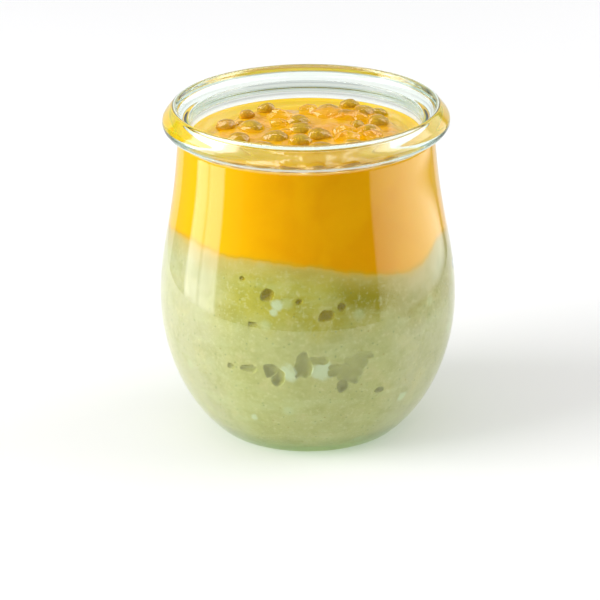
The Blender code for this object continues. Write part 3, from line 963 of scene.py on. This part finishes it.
def build_puree():
    azimuths = 360.0 * np.arange(PUREE_COLUMNS) / PUREE_COLUMNS
    low = line_height(azimuths)
    shares = np.insert(np.linspace(0, 1, PUREE_ROWS), 1, FIRST_ROW)[:, None]
    heights = low + shares * (PUREE_EDGE_HEIGHT - low)
    side = ring_points(inner_radius(heights) + SINK, azimuths, heights)
    under = layer_rings(LAYER_SHARES, inner_radius(low), azimuths, low, UNDER_OVERLAP)
    edge = inner_radius(PUREE_EDGE_HEIGHT)
    top = []
    for inset in TOP_INSETS:
        creep = CREEP_HEIGHT * math.exp(-inset / CREEP_WIDTH)
        height = dish_height(edge - inset, azimuths) + creep - TOP_DROP
        top.append(ring_points(edge - inset, azimuths, height))
    rings = np.concatenate([under, side, top])
    middle = (0, 0, PUREE_EDGE_HEIGHT - DISH_DEPTH)
    mesh = ringed_mesh("fruit_puree_layer", rings, (0, 0, CENTRE_LINE_HEIGHT), middle)
    first_top = (len(under) + len(side) - 1) * len(azimuths)
    slots = np.zeros(len(mesh.polygons), np.int32)
    slots[first_top:] = 1
    mesh.polygons.foreach_set("material_index", slots)
    # Painted light, none at the middle and full at the sides
    turn = np.abs(apart_round(azimuths, PAINTED_LIGHT_MIDDLE))
    painted_light = smooth_step((turn - PAINTED_LIGHT_START) / PAINTED_LIGHT_SWEEP)
    set_attribute(mesh, "painted_light", np.append(np.tile(painted_light, len(rings)), (0, 0)))
    set_attribute(mesh, "above_line", np.append(1000 * (rings[..., 2] - low).ravel(), (10, 10)))
    looks = [
        puree_material("fruit_puree", PUREE_SIDE, specular=0.0, roughness=0.5),
        puree_material("puree_top", PUREE_TOP, specular=0.5, roughness=0.15),
    ]
    add_piece("fruit_puree_layer", mesh, looks, "fruit_puree")


# The passion fruit

def pip_places():
    """The pieces seen plainly, then more by a seeded draw in the front part of the pulp."""
    pips = list(SEEN_PIPS)
    draw = random.Random(5)
    tries = 0
    while len(pips) < len(SEEN_PIPS) + MORE_PIPS and tries < MORE_PIPS_TRIES:
        tries += 1
        x = draw.uniform(-MORE_PIPS_REACH, MORE_PIPS_REACH)
        y = draw.uniform(-MORE_PIPS_REACH, MORE_PIPS_BACK)
        length = draw.uniform(*PIP_LENGTHS)
        heading = draw.uniform(*PIP_HEADINGS)
        apart = min(math.dist((x, y), pip[:2]) for pip in pips)
        if apart > PIP_SPACING and math.hypot(x, y) < MORE_PIPS_REACH:
            pips.append((x, y, length, heading, PIP_WIDTH, draw.uniform(*PIP_SEEDS), draw.random()))
    return pips


PIPS = pip_places()
SPOTS = [piece[:3] for piece in PIPS + SEEN_SACS]


def pulp_surface(x, y):
    """The top of the pulp: gently uneven, drawn up round each piece and thin at its edge."""
    radius = np.hypot(x, y)
    azimuth = np.degrees(np.arctan2(x, -y))
    angle = np.radians(azimuth)
    outward, outward_turns = PULP_OUTWARD_WAVES
    inward, inward_turns = PULP_INWARD_WAVES
    waves = np.sin(outward * radius + outward_turns * angle)
    waves = waves + np.sin(inward_turns * angle - inward * radius)
    rise = np.zeros(np.shape(waves))
    for pip_x, pip_y, length in SPOTS:
        apart = np.hypot(x - pip_x, y - pip_y)
        climb = PULP_CLIMB * length / USUAL_PIP
        rise = np.maximum(rise, climb * np.exp(-((apart / (CLIMB_WIDTH * length)) ** 2)))
    mound_x, mound_y, mound_width, mound_depth, mound_height = MOUND
    mound = np.hypot((x - mound_x) / mound_width, (y - mound_y) / mound_depth)
    height = PULP_HEIGHT + PULP_WAVE * waves + rise + mound_height * np.exp(-(mound**2))
    fade = smooth_step((pulp_radius(azimuth) - radius) / DISH_SLOPE)
    edge = dish_height(radius, azimuth) - PULP_EDGE_SINK
    return edge + fade * (height - edge)


def near_sac_field(x, y):
    """How near each point is to a sac, 1 under it."""
    near = np.zeros(np.shape(x))
    for pip_x, pip_y, length in SPOTS:
        apart = np.hypot(x - pip_x, y - pip_y)
        shown = smooth_step((GOLDEN_REACH * length - apart) / (GOLDEN_FADE * length))
        near = np.maximum(near, shown)
    return near


def pulp_ripple(x, y):
    """Small uneven waves of the wet film at a point."""
    return sum(
        height * noise.noise(Vector((x * scale, y * scale, place)))
        for scale, place, height in PULP_RIPPLES
    )


def build_pulp():
    azimuths = 360.0 * np.arange(PULP_COLUMNS) / PULP_COLUMNS
    angle = np.radians(azimuths)
    outline = pulp_radius(azimuths)
    rings = []
    for share in np.linspace(1.0, 0.02, PULP_RINGS):
        radius = share * outline
        x = radius * np.sin(angle)
        y = -radius * np.cos(angle)
        ripple = np.array([pulp_ripple(*point) for point in zip(x, y)])
        heights = pulp_surface(x, y) + ripple * smooth_step((1 - share) * PULP_RIPPLE_FADE)
        rings.append(ring_points(radius, azimuths, heights))
    rim_height = dish_height(outline, azimuths) - PULP_RIM_DEPTH
    rim = ring_points(outline * PULP_RIM_SHARE, azimuths, rim_height)
    rings = np.concatenate([[rim], rings])
    low_point = (0, 0, PUREE_EDGE_HEIGHT - DISH_DEPTH)
    mesh = ringed_mesh("fruit_pulp", rings, low_point, (0, 0, float(pulp_surface(0.0, 0.0))))
    x, y = rings[..., 0], rings[..., 1]
    edge = smooth_step(1 - (outline - np.hypot(x, y)) / PULP_EDGE)
    set_attribute(mesh, "edge", np.append(edge.ravel(), (0, 0)))
    set_attribute(mesh, "near_sac", np.append(near_sac_field(x, y).ravel(), (0, 0)))
    node = "passion_fruit_topping"
    add_piece("fruit_pulp", mesh, [pulp_material()], node)


def shaped_ball(shape, matrix, sizes, taper, lumps, number):
    """Adds a ball to the shape, stretched, narrower at one end and lightly lumpy; its points."""
    made = bmesh.ops.create_icosphere(shape, subdivisions=4, radius=1.0)
    for vert in made["verts"]:
        x, y, z = vert.co
        narrow = 1 - taper * x
        spot = vert.co * LUMP_SCALE + Vector((number * LUMP_STEP, 0, 0))
        wander = 1 + lumps * noise.noise(spot)
        local = Vector((x * sizes[0], y * sizes[1] * narrow, z * sizes[2] * narrow)) * wander
        vert.co = matrix @ local
    return made["verts"]


def mesh_of(name, shape):
    mesh = bpy.data.meshes.new(name)
    shape.to_mesh(mesh)
    shape.free()
    mesh.shade_smooth()
    return mesh


def turned(degrees, axis):
    return Matrix.Rotation(math.radians(degrees), 4, axis)


def settled(x, y, high, lift):
    """A place on the pulp for a piece's centre, under the height that no piece passes."""
    height = min(float(pulp_surface(x, y)) + lift * high, PIP_TOP_HEIGHT - high)
    return Matrix.Translation((x, y, height))


def build_pips():
    """A seed inside a plump sac at each place, and clear lumps of gel."""
    sacs = bmesh.new()
    seeds = bmesh.new()
    olive = []
    draw = random.Random(23)
    for number, (x, y, length, heading, width, seed, tone) in enumerate(PIPS):
        turn = turned(heading - 90 + draw.choice((0, 180)), "Z")
        tip = turned(draw.uniform(*PIP_TIP), "Y")
        roll = turned(draw.uniform(*PIP_ROLL), "X")
        half = length / 2
        high = half * draw.uniform(*PIP_HIGH)
        matrix = settled(x, y, high, draw.uniform(*PIP_LIFT)) @ turn @ tip @ roll
        sizes = (half, half * width, high)
        shaped_ball(sacs, matrix, sizes, draw.uniform(*PIP_TAPER), PIP_LUMPS, number)
        aside = draw.uniform(*SEED_ASIDE) * (1 - seed) * half
        inside = Matrix.Translation((aside, 0.0, SEED_LIFT * high)) @ matrix
        sizes = (half * seed, half * seed * SEED_WIDTH, high * SEED_HIGH)
        ball = shaped_ball(seeds, inside, sizes, SEED_TAPER, SEED_LUMPS, number + SEED_LUMPS_FROM)
        olive += [tone] * len(ball)
    for number, (x, y, length, heading, width) in enumerate(SEEN_SACS):
        half = length / 2
        high = GEL_HIGH * half
        matrix = settled(x, y, high, GEL_LIFT) @ turned(heading - 90, "Z")
        sizes = (half, width * half, high)
        shaped_ball(sacs, matrix, sizes, GEL_TAPER, GEL_LUMPS, number + GEL_LUMPS_FROM)
    node = "passion_fruit_topping"
    seed_mesh = mesh_of("fruit_seeds", seeds)
    set_attribute(seed_mesh, "olive", olive)
    add_piece("seed_sacs", mesh_of("seed_sacs", sacs), [gel_material()], node)
    add_piece("fruit_seeds", seed_mesh, [seed_material()], node)


# The surroundings

def floor_material():
    """A matt pale floor with a painted glow under the jar's clear foot."""
    material, tree, output = new_material("floor")
    length = add_node(tree, "ShaderNodeVectorMath", {0: place_of(tree)}, operation="LENGTH")
    shader = principled(tree, {
        "Base Color": (*FLOOR_COLOUR, 1.0),
        "Roughness": 0.9,
        "Specular IOR Level": 0.0,
        # Painted glow under the clear foot
        "Emission Color": (*FOOT_GLOW_COLOUR, 1.0),
        "Emission Strength": ranged(tree, length.outputs["Value"], *FOOT_GLOW_RADII, FOOT_GLOW, 0.0),
    })
    tree.links.new(shader, output.inputs[0])
    return material


def build_floor():
    """A wide pale floor, and the near part of it that only mirrors see."""
    look = floor_material()
    azimuths = 360.0 * np.arange(FLOOR_COLUMNS) / FLOOR_COLUMNS
    for name, (radius, depth) in FLOORS.items():
        rings = ring_points(np.array([radius, radius / 2])[:, None], azimuths, -depth)
        mesh = ringed_mesh(name, rings, None, (0, 0, -depth))
        mesh.materials.append(look)
        sheet = bpy.data.objects.new(name, mesh)
        bpy.context.scene.collection.objects.link(sheet)
        sheet.visible_glossy = name == "near_floor"
        if name == "near_floor":
            sheet.visible_camera = False
            sheet.visible_diffuse = False
            sheet.visible_transmission = False
            sheet.visible_shadow = False


def soft_box(name, azimuth, elevation, width, height, radiance):
    """A soft area light that faces the jar and isn't mirrored; its radiance sets its power."""
    light = bpy.data.lights.new(name, "AREA")
    light.shape = "RECTANGLE"
    light.size = width
    light.size_y = height
    light.energy = 4 * radiance * width * height
    lamp = bpy.data.objects.new(name, light)
    bpy.context.scene.collection.objects.link(lamp)
    turn = math.radians(azimuth)
    rise = math.radians(elevation)
    level = math.cos(rise)
    out = Vector((math.sin(turn) * level, -math.cos(turn) * level, math.sin(rise)))
    lamp.location = BOX_AIM + BOX_DISTANCE * out
    lamp.rotation_euler = out.to_track_quat("Z", "Y").to_euler()
    lamp.visible_camera = False
    lamp.visible_transmission = False
    lamp.visible_glossy = False


def build_lights():
    for box in SOFT_BOXES:
        soft_box(*box)


def stepped(tree, value, stops, most=10):
    """A value's place in a list of (value, level), straight between them, for levels up to most."""
    low, high = stops[0][0], stops[-1][0]
    inputs = {"Value": value, "From Min": low, "From Max": high}
    place = add_node(tree, "ShaderNodeMapRange", inputs)
    ramp = add_node(tree, "ShaderNodeValToRGB", {0: place.outputs[0]})
    elements = ramp.color_ramp.elements
    elements[0].color = (stops[0][1] / most, 0, 0, 1)
    elements[1].color = (stops[-1][1] / most, 0, 0, 1)
    for stop, level in stops[1:-1]:
        elements.new((stop - low) / (high - low)).color = (level / most, 0, 0, 1)
    red = add_node(tree, "ShaderNodeSeparateColor", {"Color": ramp.outputs[0]}).outputs[0]
    return math_of(tree, "MULTIPLY", red, float(most))


def build_world():
    """What each kind of ray meets round the jar: the mirrored room, the clear one, and a fill."""
    world = bpy.data.worlds.new("studio")
    bpy.context.scene.world = world
    world.use_nodes = True
    tree = world.node_tree
    tree.nodes.clear()
    place = add_node(tree, "ShaderNodeTexCoord").outputs["Generated"]
    parts = add_node(tree, "ShaderNodeSeparateXYZ", {0: place}).outputs
    turn = math_of(tree, "ARCTAN2", parts[0], math_of(tree, "MULTIPLY", parts[1], -1.0))
    azimuth = math_of(tree, "MULTIPLY", turn, math.degrees(1))
    elevation = math_of(tree, "MULTIPLY", math_of(tree, "ARCSINE", parts[2]), math.degrees(1))
    up = stepped(tree, elevation, MIRRORED_UP)
    boxes = math_of(tree, "MULTIPLY", stepped(tree, azimuth, MIRRORED_ROUND), up)
    high_round = stepped(tree, azimuth, HIGH_ROUND, most=20)
    high = math_of(tree, "MULTIPLY", high_round, stepped(tree, elevation, HIGH_UP))
    backdrop = stepped(tree, azimuth, BACKDROP_ROUND)
    mirrored = math_of(tree, "MAXIMUM", math_of(tree, "MAXIMUM", boxes, high), backdrop)
    darker = math_of(tree, "MULTIPLY", stepped(tree, azimuth, DARKER_ROUND), up)
    clear = math_of(tree, "SUBTRACT", CLEAR_LEVEL, darker)
    path = add_node(tree, "ShaderNodeLightPath").outputs
    level = FILL_LEVEL
    seen = {"Is Glossy Ray": mirrored, "Is Transmission Ray": clear, "Is Camera Ray": SEEN_LEVEL}
    for ray, shown in seen.items():
        level = add_node(tree, "ShaderNodeMix", {0: path[ray], 2: level, 3: shown}).outputs[0]
    background = add_node(tree, "ShaderNodeBackground", {"Strength": level})
    output = tree.nodes.new("ShaderNodeOutputWorld")
    tree.links.new(background.outputs[0], output.inputs[0])


def build_camera():
    camera = bpy.data.cameras.new("camera")
    camera.lens = CAMERA_LENS
    camera.sensor_width = SENSOR
    eye = bpy.data.objects.new("camera", camera)
    bpy.context.scene.collection.objects.link(eye)
    rise = CAMERA_ELEVATION
    back = Vector((0, -math.cos(rise), math.sin(rise)))
    up = Vector((0, math.sin(rise), math.cos(rise)))
    right = Vector((1, 0, 0))
    turned_right = math.cos(CAMERA_ROLL) * right + math.sin(CAMERA_ROLL) * up
    turned_up = -math.sin(CAMERA_ROLL) * right + math.cos(CAMERA_ROLL) * up
    place = CAMERA_AIM + CAMERA_DISTANCE * back
    rows = [(turned_right[k], turned_up[k], back[k], place[k]) for k in range(3)]
    eye.matrix_world = Matrix(rows + [(0, 0, 0, 1)])
    bpy.context.scene.camera = eye


def set_up_view():
    scene = bpy.context.scene
    scene.view_settings.view_transform = "Standard"
    scene.cycles.caustics_reflective = False
    scene.cycles.caustics_refractive = False
    scene.cycles.transparent_max_bounces = 32


build_camera()
set_up_view()
build_world()
build_lights()
build_floor()
build_jar()
build_pudding()
build_puree()
build_pulp()
build_pips()
